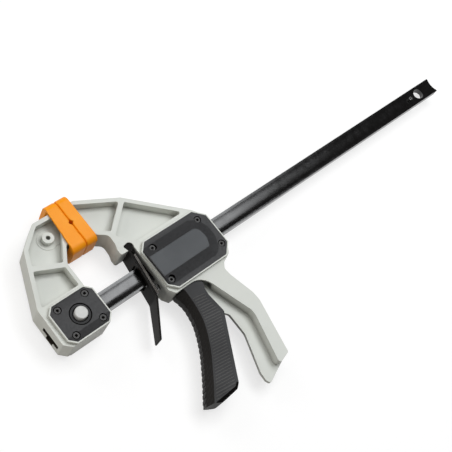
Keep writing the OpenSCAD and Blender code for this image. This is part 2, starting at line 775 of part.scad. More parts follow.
// Bevelled ridge along the front edge, from just below the housing to the toe.
module front_ridge() {
    half = trigger_t / 2;
    flat = trigger_flat / 2;
    first = 4;
    last = len(front_edge) - 1;
    points = [for (i = [first : last])
        let (p = front_edge[i],
             way = unit(front_edge[min(i + 1, last)] - front_edge[i - 1]),
             flare = max(0, 1 - (i - first) / 6),
             rise = trigger_ridge + 3.2 * flare * flare,
             q = p + turned(way, -90) * rise + way * (i == last ? 2.2 : 0),
             back = p + turned(way, 90) * 1.5)
        each [[back[0], back[1], -half], [p[0], p[1], -half], [q[0], q[1], -flat],
              [q[0], q[1], flat], [p[0], p[1], half], [back[0], back[1], half]]];
    rings = last - first;
    faces = concat(
        [[5, 4, 3, 2, 1, 0]],
        [for (i = [0 : rings - 1], j = [0 : 5])
            let (k = (j + 1) % 6) [i * 6 + j, i * 6 + k, (i + 1) * 6 + k, (i + 1) * 6 + j]],
        [[for (j = [0 : 5]) rings * 6 + j]]);
    polyhedron(points, faces);
}

module trigger() {
    inner_half = trigger_t / 2 - trigger_side;
    color(trigger_black) difference() {
        union() {
            difference() {
                slab(rounded(trigger_outline), -trigger_t / 2, trigger_t / 2);
                slab(trigger_hollow, -inner_half, inner_half);
                box([40, -16.5, -inner_half], [60, 0, inner_half]);
            }
            front_ridge();
            post(nose, nose_r, -inner_half - 1, inner_half + 1);
        }
        post(pivot, pin_r + turn_gap, -trigger_t, trigger_t);
    }
}

module trigger_pin() {
    color(bright_steel) post(pivot, pin_r, floor_z - 1.4, seat_z + 0.3);
}

module drive_plate(i) {
    x0 = plates_x + i * (drive_plate_t + 0.02);
    color(bright_steel) difference() {
        box([x0, plates_low, -drive_plate_w / 2], [x0 + drive_plate_t, plates_top, drive_plate_w / 2]);
        box([x0 - 1, -bar_w / 2 - slide_gap, -bar_t / 2 - slide_gap],
            [x0 + drive_plate_t + 1, bar_w / 2 + slide_gap, bar_t / 2 + slide_gap]);
    }
}

module drive_plate_front() {
    drive_plate(0);
}

module drive_plate_middle() {
    drive_plate(1);
}

module drive_plate_rear() {
    drive_plate(2);
}

module drive_spring() {
    x0 = plates_x + drive_plates * (drive_plate_t + 0.02) + 0.05;
    color(bright_steel) translate([x0, spring_y, 0]) rotate([0, 90, 0])
        spring(3.2, wire_d, spring_seat_x - 0.05 - x0, 8);
}

// ---- release lever and brake ----

blade_x = -2.2;
brake_x = blade_x + brake_t + rivet_collar;
blade_low = -48.5;

// Places a piece in the lever's own frame: pivot at the origin, blade along -Y.
module on_lever() {
    translate([lever_pivot[0], lever_pivot[1], 0]) rotate([0, 0, -lever_lean]) children();
}

module release_lever() {
    bend = [blade_x, blade_low];
    way = turned([0, -1], -tab_bend);
    tip = bend + way * tab_l;
    inner_tip = tip + turned(way, 90) * brake_t;
    profile = [[blade_x, 0, 0], [blade_x, blade_low, 6], [tip[0], tip[1], 0.8],
               [inner_tip[0], inner_tip[1], 0.8],
               [blade_x + brake_t, blade_low - brake_t * tan(tab_bend / 2), 6],
               [blade_x + brake_t, 0, 0]];
    half = lever_w / 2;
    tip_half = tab_tip_w / 2;
    color(trigger_black) on_lever() difference() {
        union() {
            intersection() {
                slab(rounded(profile), -half, half);
                along_x(tip[0] - 5, 5) polygon([
                    [5, -half], [5, half], [blade_low, half], [inner_tip[1], tip_half],
                    [inner_tip[1], -tip_half], [blade_low, -half]]);
            }
            post([0, 0], lever_head_r, -half, half);
        }
        translate([0, window_y, 0]) along_x(-8, 8)
            round_box_2d(bar_w + 4.2, bar_t + 4.6, 2.5);
    }
}

module brake_plate() {
    half = lever_w / 2;
    color(blued_steel) on_lever() {
        difference() {
            box([brake_x, blade_low + 2.2, -half], [brake_x + brake_t, -lever_head_r - 3.7, half]);
            translate([0, window_y, 0]) along_x(-8, 8)
                square([bar_w + 1.2, bar_t + 0.6], center = true);
        }
        for (y = [-10, blade_low + 7])
            translate([blade_x + brake_t + 0.05, y, 0]) rotate([0, 90, 0])
                cylinder(r = 1.5, h = rivet_collar + 0.1);
    }
}

module brake_spring() {
    x0 = lever_pivot[0] - 3;
    color(bright_steel) translate([x0, brake_spring_y, 0]) rotate([0, 90, 0])
        spring(2.6, wire_d, housing_left + 5 - 0.05 - x0, 4);
}

bar();
bar_stop_pin();
fixed_jaw();
fixed_jaw_pad();
fixed_jaw_cover();
fixed_jaw_screws();
lock_bush();
lock_button();
lock_spring();
moving_jaw();
moving_jaw_pad();
housing_cover();
housing_screws();
badge_plate();
trigger();
trigger_pin();
drive_plate_front();
drive_plate_middle();
drive_plate_rear();
drive_spring();
release_lever();
brake_plate();
brake_spring();
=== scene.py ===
"""Quick release bar clamp: pieces, finishes and light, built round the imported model."""
import math

import bmesh
import bpy
from mathutils import Matrix, Vector


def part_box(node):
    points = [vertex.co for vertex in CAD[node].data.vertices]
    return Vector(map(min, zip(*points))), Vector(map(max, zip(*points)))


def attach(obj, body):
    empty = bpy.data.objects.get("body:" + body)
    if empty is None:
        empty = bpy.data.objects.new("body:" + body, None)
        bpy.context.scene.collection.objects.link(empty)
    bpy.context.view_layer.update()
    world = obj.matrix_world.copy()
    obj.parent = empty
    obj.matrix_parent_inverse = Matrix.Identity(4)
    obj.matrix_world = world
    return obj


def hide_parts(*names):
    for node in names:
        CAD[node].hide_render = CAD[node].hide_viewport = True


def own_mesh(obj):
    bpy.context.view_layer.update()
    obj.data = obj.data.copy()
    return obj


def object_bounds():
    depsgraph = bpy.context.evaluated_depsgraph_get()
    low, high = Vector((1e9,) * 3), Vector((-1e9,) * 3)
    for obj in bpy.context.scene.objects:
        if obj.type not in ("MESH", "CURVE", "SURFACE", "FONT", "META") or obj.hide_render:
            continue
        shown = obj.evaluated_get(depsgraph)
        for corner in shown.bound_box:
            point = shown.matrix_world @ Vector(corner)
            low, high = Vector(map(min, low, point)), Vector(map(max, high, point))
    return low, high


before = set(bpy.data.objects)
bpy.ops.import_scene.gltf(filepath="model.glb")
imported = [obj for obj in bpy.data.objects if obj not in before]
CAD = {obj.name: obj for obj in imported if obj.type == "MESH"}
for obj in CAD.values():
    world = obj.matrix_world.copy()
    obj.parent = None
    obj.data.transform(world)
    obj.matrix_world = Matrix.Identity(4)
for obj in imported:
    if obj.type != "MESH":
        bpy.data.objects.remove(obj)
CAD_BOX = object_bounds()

SCENE = bpy.context.scene

# A millimetre in metres.
MM = 0.001
# Corners nearer than these are one corner, in a CAD mesh and after its edges are rounded.
SAME_CORNER, SAME_ROUNDED = 0.002 * MM, 0.001 * MM
# An edge shorter than this has no length, and a corner nearer to a cut lies on it.
NO_EDGE, ON_CUT = 0.004 * MM, 0.0001 * MM
# Degrees between faces: up to the first they are one flat, beyond the second an edge is sharp.
ONE_FLAT, SHARP = 0.4, 32.0


# ---- shader nodes ----

def srgb(red, green, blue):
    """A colour as written on a screen, 0 to 255, made linear."""
    def linear(value):
        value /= 255
        return value / 12.92 if value <= 0.04045 else ((value + 0.055) / 1.055) ** 2.4
    return (linear(red), linear(green), linear(blue), 1.0)


def add(tree, kind, sockets=None, **settings):
    """A new node, its settings made and its sockets set or linked."""
    node = tree.nodes.new(kind)
    for key, value in settings.items():
        setattr(node, key, value)
    for key, value in (sockets or {}).items():
        if isinstance(value, bpy.types.NodeSocket):
            tree.links.new(value, node.inputs[key])
        else:
            node.inputs[key].default_value = value
    return node


def math_node(tree, operation, *values):
    """The result of a sum on numbers or sockets."""
    return add(tree, "ShaderNodeMath", dict(enumerate(values)), operation=operation).outputs[0]


def remap(tree, value, span, onto=(0.0, 1.0)):
    """A value moved from one span onto another, and held inside it."""
    return add(tree, "ShaderNodeMapRange", {
        "Value": value, "From Min": span[0], "From Max": span[1],
        "To Min": onto[0], "To Max": onto[1]}).outputs["Result"]


def mix_colour(tree, share, one, other):
    """One colour, with a share of the other."""
    node = add(tree, "ShaderNodeMix", {0: share, 6: one, 7: other}, data_type="RGBA")
    return node.outputs[2]


def object_place(tree):
    """Object coordinates, in metres."""
    return add(tree, "ShaderNodeTexCoord").outputs["Object"]


def noise(tree, place, scale, detail, roughness):
    """Soft noise, 0 to 1."""
    return add(tree, "ShaderNodeTexNoise", {
        "Vector": place, "Scale": scale, "Detail": detail, "Roughness": roughness}).outputs[0]


# ---- shared effects ----

def new_group(name, labels, result):
    """An empty group of float sockets: its tree, its inputs and the socket of its result."""
    tree = bpy.data.node_groups.new(name, "ShaderNodeTree")
    for label in labels:
        tree.interface.new_socket(label, in_out="INPUT", socket_type="NodeSocketFloat")
    tree.interface.new_socket(result, in_out="OUTPUT", socket_type="NodeSocketFloat")
    enter = tree.nodes.new("NodeGroupInput")
    leave = tree.nodes.new("NodeGroupOutput")
    return tree, enter.outputs, leave.inputs[result]


def make_grain_group():
    """Spark-eroded grain of a moulding."""
    tree, given, result = new_group("moulded_grain", ["Scale"], "Height")
    place = object_place(tree)
    pits = noise(tree, place, given["Scale"], 3.0, 0.6)
    cells = add(tree, "ShaderNodeTexVoronoi", {
        "Vector": place, "Scale": math_node(tree, "MULTIPLY", given["Scale"], 0.7)})
    tree.links.new(
        math_node(tree, "MULTIPLY_ADD", cells.outputs["Distance"], 0.5, pits), result)
    return tree


def make_clouding_group():
    """Soft patches, such as flow marks and handling."""
    tree, given, result = new_group("clouding", ["Scale", "Spread"], "Mask")
    patches = noise(tree, object_place(tree), given["Scale"], 4.0, 0.55)
    low = math_node(tree, "SUBTRACT", 0.5, given["Spread"])
    high = math_node(tree, "ADD", 0.5, given["Spread"])
    tree.links.new(remap(tree, patches, (low, high)), result)
    return tree


def make_wear_and_glint_group():
    """Edges rubbed by use and lit as painted glints: where a rounded normal leaves the flat one,
    broken up.
    """
    tree, given, result = new_group("edge_wear_and_glints", ["Radius", "Amount", "Breaks"], "Mask")
    rounded = add(tree, "ShaderNodeBevel", {"Radius": given["Radius"]}, samples=6)
    flat = add(tree, "ShaderNodeNewGeometry")
    agree = add(tree, "ShaderNodeVectorMath", {
        0: rounded.outputs["Normal"], 1: flat.outputs["Normal"]}, operation="DOT_PRODUCT")
    edge = remap(tree, agree.outputs["Value"], (0.998, 0.9))
    broken = noise(tree, object_place(tree), given["Breaks"], 3.0, 0.6)
    worn_and_glinting = math_node(tree, "MULTIPLY", edge, remap(tree, broken, (0.3, 0.65), (0.35, 1.0)))
    tree.links.new(math_node(tree, "MULTIPLY", worn_and_glinting, given["Amount"]), result)
    return tree


def make_drawn_group():
    """Fine lines along X, as on rolled and ground steel."""
    tree, given, result = new_group("drawn_lines", ["Scale"], "Height")
    along = add(tree, "ShaderNodeMapping", {
        "Vector": object_place(tree), "Scale": (0.02, 1.0, 1.0)})
    tree.links.new(noise(tree, along.outputs[0], given["Scale"], 4.0, 0.65), result)
    return tree


def make_rib_group():
    """Ribs moulded across the trigger's front bevels. Their scale is their pitch in mm."""
    tree, given, result = new_group("rib_lines", ["Scale"], "Height")
    place = object_place(tree)
    parts = add(tree, "ShaderNodeSeparateXYZ", {0: place})
    skew = math_node(tree, "MULTIPLY_ADD", parts.outputs["X"], -0.55, parts.outputs["Y"])
    turns = math_node(tree, "DIVIDE", math_node(tree, "MULTIPLY", skew, math.tau / MM),
                      given["Scale"])
    ribs = remap(tree, math_node(tree, "SINE", turns), (-0.4, 0.6), (0.0, 2.5))
    pits = noise(tree, place, 1800.0, 2.0, 0.6)
    tree.links.new(math_node(tree, "MULTIPLY_ADD", pits, 0.5, ribs), result)
    return tree


def make_corner_shade_group():
    """Painted shade in inner corners and along deep walls, darker where little of the world is
    seen.
    """
    tree, given, result = new_group("painted_corner_shade", ["Reach", "Amount"], "Mask")
    open_share = add(tree, "ShaderNodeAmbientOcclusion", {"Distance": given["Reach"]},
                     samples=8)
    closed = remap(tree, open_share.outputs["AO"], (0.3, 0.84), (1.0, 0.0))
    tree.links.new(math_node(tree, "MULTIPLY", closed, given["Amount"]), result)
    return tree


GRAIN = make_grain_group()
CLOUDING = make_clouding_group()
WEAR_AND_GLINTS = make_wear_and_glint_group()
DRAWN = make_drawn_group()
RIBS = make_rib_group()
PAINTED_CORNER_SHADE = make_corner_shade_group()


# ---- finishes ----

# Millimetres from one rib of the trigger to the next, on its sides and its bevels.
RIB_PITCH = 2.43
PATCH_SPREAD = 0.22
WEAR_AND_GLINT_BREAKS = 350.0
CORNER_REACH = 7.0 * MM
# The shares of red, green and blue that painted shade leaves in an inner corner.
CORNER_SHADE = (0.3, 0.285, 0.26)
RELIEF_DEPTH = 0.1 * MM


def use_group(tree, group, **values):
    """A group's node in a material, with its inputs set."""
    node = tree.nodes.new("ShaderNodeGroup")
    node.node_tree = group
    for key, value in values.items():
        node.inputs[key].default_value = value
    return node.outputs[0]


def finish_of(name, tones, roughness, texture, texture_scale, bump, wear_and_glint,
              wear_and_glint_radius=0.4, patch_scale=30.0, metallic=0.0, specular=0.5, inner=0.0):
    """A material: two tones in soft patches, edges lightened by rubbed wear and painted glints,
    and a fine relief.

    The tones are those of the body, its patches and its edges, which rubbed wear and painted
    glints lighten, 0 to 255. The two roughnesses are those of body and patches, and inner is
    how far painted shade darkens inner corners.
    """
    body_tone, patch_tone, edge_tone = (srgb(*tone) for tone in tones)
    made = bpy.data.materials.new(name)
    made.use_nodes = True
    tree = made.node_tree
    tree.nodes.clear()
    patches = use_group(tree, CLOUDING, Scale=patch_scale, Spread=PATCH_SPREAD)
    worn_and_glinting = use_group(tree, WEAR_AND_GLINTS, Radius=wear_and_glint_radius * MM, Amount=wear_and_glint, Breaks=WEAR_AND_GLINT_BREAKS)
    relief = use_group(tree, texture, Scale=texture_scale)
    # Edges take the lighter edge tone, as rubbed wear and as painted glints.
    shown = mix_colour(tree, worn_and_glinting, mix_colour(tree, patches, body_tone, patch_tone), edge_tone)
    if inner:
        # Inner corners take a darker copy of the body tone, as painted shade.
        corners = use_group(tree, PAINTED_CORNER_SHADE, Reach=CORNER_REACH, Amount=inner)
        shade = tuple(part * left for part, left in zip(body_tone, CORNER_SHADE)) + (1.0,)
        shown = mix_colour(tree, corners, shown, shade)
    raised = add(tree, "ShaderNodeBump", {
        "Strength": bump, "Distance": RELIEF_DEPTH, "Height": relief})
    shader = add(tree, "ShaderNodeBsdfPrincipled", {
        "Base Color": shown, "Roughness": remap(tree, patches, (0.0, 1.0), roughness),
        "Metallic": metallic, "Specular IOR Level": specular,
        "Normal": raised.outputs["Normal"]})
    out = add(tree, "ShaderNodeOutputMaterial", {"Surface": shader.outputs[0]})
    out.is_active_output = True
    return made


# Each finish's edge tone is lighter than its body: partly rubbed wear, partly painted glints.
FINISH = {
    # The moulding's inner corners are darkened by painted shade.
    "shell": finish_of(
        "shell_nylon", [(219, 221, 215), (213, 215, 208), (233, 231, 222)],
        roughness=(0.5, 0.6), texture=GRAIN, texture_scale=1600.0, bump=0.25,
        wear_and_glint=0.4, specular=0.3, inner=0.5),
    "cover": finish_of(
        "cover_charcoal", [(50, 50, 51), (44, 44, 45), (66, 66, 66)],
        roughness=(0.46, 0.54), texture=GRAIN, texture_scale=1500.0, bump=0.5,
        wear_and_glint=0.3, patch_scale=420.0, specular=0.32),
    # The covers' sloping bands: a coarser grain, and a darker, less glossy copy of the cover
    # tone as painted shade.
    "cover_side": finish_of(
        "cover_side_grain", [(48, 48, 49), (42, 42, 43), (62, 62, 62)],
        roughness=(0.56, 0.64), texture=GRAIN, texture_scale=1100.0, bump=0.7,
        wear_and_glint=0.3, patch_scale=420.0, specular=0.2),
    "badge": finish_of(
        "badge_satin", [(64, 67, 70), (59, 62, 65), (92, 94, 96)],
        roughness=(0.42, 0.5), texture=GRAIN, texture_scale=2400.0, bump=0.15,
        wear_and_glint=0.3, specular=0.34),
    "pad": finish_of(
        "pad_orange", [(255, 162, 8), (255, 151, 4), (255, 168, 30)],
        roughness=(0.42, 0.52), texture=GRAIN, texture_scale=1500.0, bump=0.2,
        wear_and_glint=0.35, specular=0.3),
    "trigger": finish_of(
        "trigger_black", [(43, 43, 44), (38, 38, 39), (72, 71, 70)],
        roughness=(0.48, 0.56), texture=GRAIN, texture_scale=1800.0, bump=0.3,
        wear_and_glint=0.25, specular=0.3),
    "grip": finish_of(
        "trigger_grip_ribs", [(68, 67, 66), (61, 60, 59), (84, 83, 81)],
        roughness=(0.48, 0.56), texture=GRAIN, texture_scale=1800.0, bump=0.2,
        wear_and_glint=0.2, specular=0.3),
    "ribbed": finish_of(
        "trigger_front_ribs", [(33, 31, 29), (27, 25, 23), (50, 48, 45)],
        roughness=(0.5, 0.58), texture=RIBS, texture_scale=RIB_PITCH, bump=0.9,
        wear_and_glint=0.2, specular=0.22),
    "ridge": finish_of(
        "trigger_ridge", [(30, 28, 26), (26, 24, 22), (50, 48, 45)],
        roughness=(0.52, 0.6), texture=GRAIN, texture_scale=1800.0, bump=0.3,
        wear_and_glint=0.2, specular=0.2),
    # Near black, as painted shade: screw recesses and sockets, the gap round the bush and its
    # mouth, the ring in that gap, and the sheets on the trigger's toe.
    "recess": finish_of(
        "recess_shade", [(14, 13, 12), (10, 9, 8), (22, 20, 18)],
        roughness=(0.8, 0.9), texture=GRAIN, texture_scale=1500.0, bump=0.1,
        wear_and_glint=0.1, specular=0.05),
    # A darker tone of the moulding, as painted shade inside the moulded slot.
    "core": finish_of(
        "core_shade", [(84, 78, 70), (70, 64, 57), (96, 90, 82)],
        roughness=(0.7, 0.8), texture=GRAIN, texture_scale=1100.0, bump=0.4,
        wear_and_glint=0.1, specular=0.1),
    "bar": finish_of(
        "bar_blued", [(5, 4, 3), (3, 2, 2), (56, 55, 54)],
        roughness=(0.18, 0.27), texture=DRAWN, texture_scale=900.0, bump=0.06,
        wear_and_glint=0.4, patch_scale=150.0, specular=0.76),
    "plate": finish_of(
        "plate_oxide", [(66, 64, 61), (46, 43, 40), (130, 128, 124)],
        roughness=(0.35, 0.5), texture=DRAWN, texture_scale=1200.0, bump=0.3,
        wear_and_glint=0.6, patch_scale=60.0, metallic=0.9),
    "lever": finish_of(
        "lever_black", [(16, 14, 12), (12, 10, 9), (122, 119, 114)],
        roughness=(0.42, 0.5), texture=GRAIN, texture_scale=1400.0, bump=0.3,
        wear_and_glint=0.55, specular=0.06),
    "bush": finish_of(
        "bush_charcoal", [(36, 36, 37), (32, 32, 33), (44, 44, 44)],
        roughness=(0.48, 0.56), texture=GRAIN, texture_scale=1500.0, bump=0.3,
        wear_and_glint=0.1, specular=0.25),
    "button": finish_of(
        "button_nickel", [(208, 208, 205), (196, 196, 193), (208, 207, 203)],
        roughness=(0.5, 0.6), texture=GRAIN, texture_scale=1500.0, bump=0.15,
        wear_and_glint=0.3, patch_scale=160.0, metallic=0.15, specular=0.3),
    "screw": finish_of(
        "screw_oxide", [(40, 38, 36), (30, 28, 26), (110, 104, 98)],
        roughness=(0.3, 0.4), texture=GRAIN, texture_scale=1800.0, bump=0.2,
        wear_and_glint=0.5, wear_and_glint_radius=0.2, patch_scale=300.0, specular=0.3),
    "spring": finish_of(
        "spring_wire", [(168, 168, 166), (140, 139, 137), (210, 210, 208)],
        roughness=(0.25, 0.35), texture=DRAWN, texture_scale=1500.0, bump=0.2,
        wear_and_glint=0.4, patch_scale=120.0, metallic=0.95),
}


# ---- making pieces ----

def as_object(name, bm, *finishes, smooth_below=SHARP):
    """The piece of a finished bmesh, smooth but for its sharp edges."""
    mesh = bpy.data.meshes.new(name)
    bm.to_mesh(mesh)
    bm.free()
    for finish in finishes:
        mesh.materials.append(FINISH[finish])
    mesh.shade_smooth()
    mesh.set_sharp_from_angle(angle=math.radians(smooth_below))
    piece = bpy.data.objects.new(name, mesh)
    SCENE.collection.objects.link(piece)
    flats = piece.modifiers.new("even_flats", "WEIGHTED_NORMAL")
    flats.keep_sharp = True
    return piece


def merged_copy(node):
    """A CAD node's mesh as joined faces, its flat faces in one piece each."""
    bm = bmesh.new()
    bm.from_mesh(CAD[node].data)
    bmesh.ops.remove_doubles(bm, verts=bm.verts[:], dist=SAME_CORNER)
    bmesh.ops.dissolve_degenerate(bm, dist=NO_EDGE, edges=bm.edges[:])
    bmesh.ops.dissolve_limit(
        bm, angle_limit=math.radians(ONE_FLAT), verts=bm.verts[:], edges=bm.edges[:])
    return bm


def turned_outward(bm):
    """The same bmesh, with every face looking out."""
    bmesh.ops.recalc_face_normals(bm, faces=bm.faces[:])
    return bm


def round_edges(bm, edges, width, segments=2):
    """Rounds some edges, by a width in millimetres."""
    bmesh.ops.bevel(bm, geom=edges, offset=width * MM, offset_type="OFFSET", affect="EDGES",
                    segments=segments, profile=0.5, material=-1, clamp_overlap=True,
                    loop_slide=True)


def sharp_edges(bm):
    """The edges that are rounded."""
    return [e for e in bm.edges
            if e.is_manifold and e.calc_face_angle(0.0) > math.radians(SHARP)]


def soften(bm, width):
    """Rounds every sharp edge."""
    round_edges(bm, sharp_edges(bm), width)
    bmesh.ops.remove_doubles(bm, verts=bm.verts[:], dist=SAME_ROUNDED)


def stands_for(piece, node, body):
    """Puts a piece on its body in place of a CAD node."""
    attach(piece, body)
    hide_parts(node)
    return piece


def dressed(node, name, body, finish, width, **others):
    """A softer copy of a CAD node, with other finishes on the faces that their tests pick."""
    bm = merged_copy(node)
    soften(bm, width)
    for number, where in enumerate(others.values(), 1):
        for face in bm.faces:
            if where(face):
                face.material_index = number
    return stands_for(as_object(name, bm, finish, *others), node, body)


# ---- tests that pick faces, in millimetres ----

# Radii of the round recesses: of the screws, the gap round the bush, its mouth, a socket.
SCREW_RECESS, GAP_REACH, MOUTH_REACH, SOCKET_REACH = 3.42, 9.4, 6.6, 1.45
# How far below the top the last two start.
MOUTH_LEDGE, SOCKET_LEDGE = 0.25, 0.15
# The moulded slot in the fixed jaw's end: from that end, half its length, and in height.
SLOT_DEPTH, SLOT_HALF, SLOT_HEIGHT = (0.3, 5.0), 9.8, (-10.3, 0.1)
# The trigger's front ridge and toe: the Y that they start below, the size of a normal's Z
# from which a face is one of the trigger's sides, and how far it has to face front or down.
RIDGE_TOP, RIDGE_SIDE, RIDGE_FACING = -29.0, 0.9, -0.2
TOE_TOP, TOE_SIDE, TOE_FACING = -112.0, 0.95, -0.3
# A normal's Z on the sloping bands of the covers.
BAND_SLOPE = (0.5, 0.998)


def middle_of(spots):
    """The middle of the box round some places."""
    return Vector([(min(spot[i] for spot in spots) + max(spot[i] for spot in spots)) / 2
                   for i in range(2)])


def middles(node, apart=8.0):
    """Middles of a node's separate solids, seen from above."""
    groups = []
    for vertex in CAD[node].data.vertices:
        spot = Vector(vertex.co.xy) / MM
        near = next((group for group in groups if (group[0] - spot).length < apart), None)
        if near:
            near.append(spot)
        else:
            groups.append([spot])
    return [middle_of(group) for group in groups]


def sunk_round(spots, reach, below=math.inf):
    """A test for the walls and floors of the round recesses about some places."""
    def test(face):
        return face.calc_center_median().z / MM < below and any(
            all((v.co.xy / MM - spot).length < reach for v in face.verts) for spot in spots)
    return test


BUTTON = middles("lock_button", 30.0)
JAW_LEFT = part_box("fixed_jaw")[0].x / MM
COVER_LOW, COVER_TOP = (corner.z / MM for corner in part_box("fixed_jaw_cover"))
LOCK_SCREWS = sunk_round(middles("fixed_jaw_screws"), SCREW_RECESS)
DRIVE_SCREWS = sunk_round(middles("housing_screws"), SCREW_RECESS)
RING_GAP = sunk_round(BUTTON, GAP_REACH)
BUSH_MOUTH = sunk_round(BUTTON, MOUTH_REACH, COVER_TOP - MOUTH_LEDGE)


def in_core_slot(face):
    """The walls and floor of the moulded slot, which get a darker tone as painted shade."""
    at = face.calc_center_median() / MM
    return SLOT_DEPTH[0] < at.x - JAW_LEFT < SLOT_DEPTH[1] and abs(at.y) < SLOT_HALF \
        and SLOT_HEIGHT[0] < at.z < SLOT_HEIGHT[1]


def on_front_ridge(face):
    """The bevels and flat along the trigger's front."""
    return face.calc_center_median().y < RIDGE_TOP * MM \
        and abs(face.normal.z) < RIDGE_SIDE and face.normal.x < RIDGE_FACING


def under_toe(face):
    """The underside of the trigger's toe, which is darkened as painted shade."""
    return face.calc_center_median().y < TOE_TOP * MM \
        and abs(face.normal.z) < TOE_SIDE and face.normal.y < TOE_FACING


def on_slope(face):
    """The sloping bands of the covers, which fall away from their flats: a coarser grain, and a
    darker, less glossy tone as painted shade.
    """
    return BAND_SLOPE[0] < face.normal.z < BAND_SLOPE[1]


def in_sockets(node):
    """A test for the sockets in a node's screw heads."""
    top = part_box(node)[1].z / MM
    return sunk_round(middles(node), SOCKET_REACH, top - SOCKET_LEDGE)


# ---- pieces made from the CAD nodes: node, name, body, finish, width of the rounding ----

# The inside of the moulded slot is darker, as painted shade.
dressed("fixed_jaw", "fixed_jaw_moulding", "bar_frame", "shell", 0.45, core=in_core_slot)
dressed("fixed_jaw_cover", "lock_cover", "bar_frame", "cover", 0.3,
        # The lower sloping band gets the darker copy of the cover finish, as painted shade.
        cover_side=lambda face: on_slope(face) and face.normal.y < 0.0,
        # Screw recesses and the gap round the bush: near black, as painted shade.
        recess=lambda face: LOCK_SCREWS(face) or RING_GAP(face))
# The bush's mouth is near black, as painted shade.
dressed("lock_bush", "button_bush", "bar_frame", "bush", 0.25, recess=BUSH_MOUTH)
# The drive cover's sloping bands get the darker copy of the cover finish, as painted shade.
dressed("housing_cover", "drive_cover", "sliding_jaw", "cover", 0.3, cover_side=on_slope,
        # Screw recesses: near black, as painted shade.
        recess=DRIVE_SCREWS)
# The underside of the toe gets the darker ridge finish, as painted shade.
dressed("trigger", "trigger_grip", "trigger", "trigger", 0.4, ribbed=on_front_ridge,
        ridge=under_toe)
# The sockets of the screw heads are near black, as painted shade.
dressed("fixed_jaw_screws", "lock_cover_screws", "bar_frame", "screw", 0.12,
        recess=in_sockets("fixed_jaw_screws"))
dressed("housing_screws", "drive_cover_screws", "sliding_jaw", "screw", 0.12,
        recess=in_sockets("housing_screws"))
for row in [
        ("moving_jaw", "moving_jaw_moulding", "sliding_jaw", "shell", 0.45),
        ("badge_plate", "bare_badge", "sliding_jaw", "badge", 0.2),
        ("lock_button", "release_button", "lock_button", "button", 0.25),
        ("bar", "rolled_bar", "bar_frame", "bar", 0.3),
        ("bar_stop_pin", "stop_pin", "bar_frame", "spring", 0.2),
        ("trigger_pin", "trigger_pivot_pin", "sliding_jaw", "spring", 0.15),
        ("drive_plate_front", "drive_plate_one", "drive_plates", "plate", 0.15),
        ("drive_plate_middle", "drive_plate_two", "drive_plates", "plate", 0.15),
        ("drive_plate_rear", "drive_plate_three", "drive_plates", "plate", 0.15),
        ("release_lever", "pressed_lever", "release_lever", "lever", 0.25),
        ("brake_plate", "brake_disc", "release_lever", "plate", 0.2)]:
    dressed(*row)


def painted_shade_ring(name, inner, outer, low, high):
    """A near-black ring laid in the gap round the bush as painted shade, its sizes in
    millimetres.
    """
    bm = bmesh.new()
    corners = [bm.verts.new((r * MM, 0.0, z * MM)) for r, z in (
        (inner, low), (outer, low), (outer, high), (inner, high))]
    edges = [bm.edges.new((corners[i], corners[(i + 1) % 4])) for i in range(4)]
    bmesh.ops.spin(bm, geom=corners + edges, cent=(0.0, 0.0, 0.0), axis=(0.0, 0.0, 1.0),
                   dvec=(0.0, 0.0, 0.0), angle=math.tau, steps=64, use_merge=True,
                   use_duplicate=False)
    bmesh.ops.remove_doubles(bm, verts=bm.verts[:], dist=SAME_ROUNDED)
    turned_outward(bm)
    bmesh.ops.translate(bm, verts=bm.verts[:], vec=(BUTTON[0].x * MM, BUTTON[0].y * MM, 0.0))
    piece = as_object(name, bm, "recess")
    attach(piece, "bar_frame")


painted_shade_ring("bush_gap_shade", inner=8.53, outer=9.22, low=COVER_LOW + 0.02, high=COVER_LOW + 1.1)


# ---- jaw pads ----

def pad_cap(node, name, body, seam=1.5, corner=0.55):
    """A moulded cap, rolled over where the two pads meet, which is at X = 0."""
    bm = merged_copy(node)
    meeting = [e for e in sharp_edges(bm) if all(abs(v.co.x) < 0.2 * MM for v in e.verts)]
    round_edges(bm, meeting, seam, segments=3)
    soften(bm, corner)
    return stands_for(as_object(name, bm, "pad"), node, body)


pad_cap("fixed_jaw_pad", "fixed_pad", "bar_frame")
pad_cap("moving_jaw_pad", "moving_pad", "sliding_jaw")


# ---- springs ----

# The wire's thickness in millimetres, its sides, and the steps of a turn.
WIRE, WIRE_SIDES, TURN_STEPS = 0.9, 12, 28


def long_axis(span):
    """The number of the axis whose length differs most from the mean of the other two."""
    return max(range(3), key=lambda i: abs(
        span[i] - (span[(i + 1) % 3] + span[(i + 2) % 3]) / 2))


def wound(radius, wire, turns, rise):
    """Wire wound up along Z, with a closed turn at each end."""
    bm = bmesh.new()
    bmesh.ops.create_circle(
        bm, cap_ends=False, segments=WIRE_SIDES, radius=wire / 2,
        matrix=Matrix.Translation((radius, 0.0, wire / 2)) @ Matrix.Rotation(
            math.radians(90.0), 4, "X"))
    ring = bm.edges[:]
    for turn_count, climb in ((1, wire), (turns, rise), (1, wire)):
        steps = turn_count * TURN_STEPS
        swept = bmesh.ops.spin(
            bm, geom=ring, cent=(0.0, 0.0, 0.0), axis=(0.0, 0.0, 1.0),
            dvec=(0.0, 0.0, climb / steps), angle=turn_count * math.tau, steps=steps,
            use_merge=False, use_duplicate=False)
        ring = [e for e in swept["geom_last"] if isinstance(e, bmesh.types.BMEdge)]
    bmesh.ops.holes_fill(bm, edges=bm.edges[:], sides=0)
    return bm


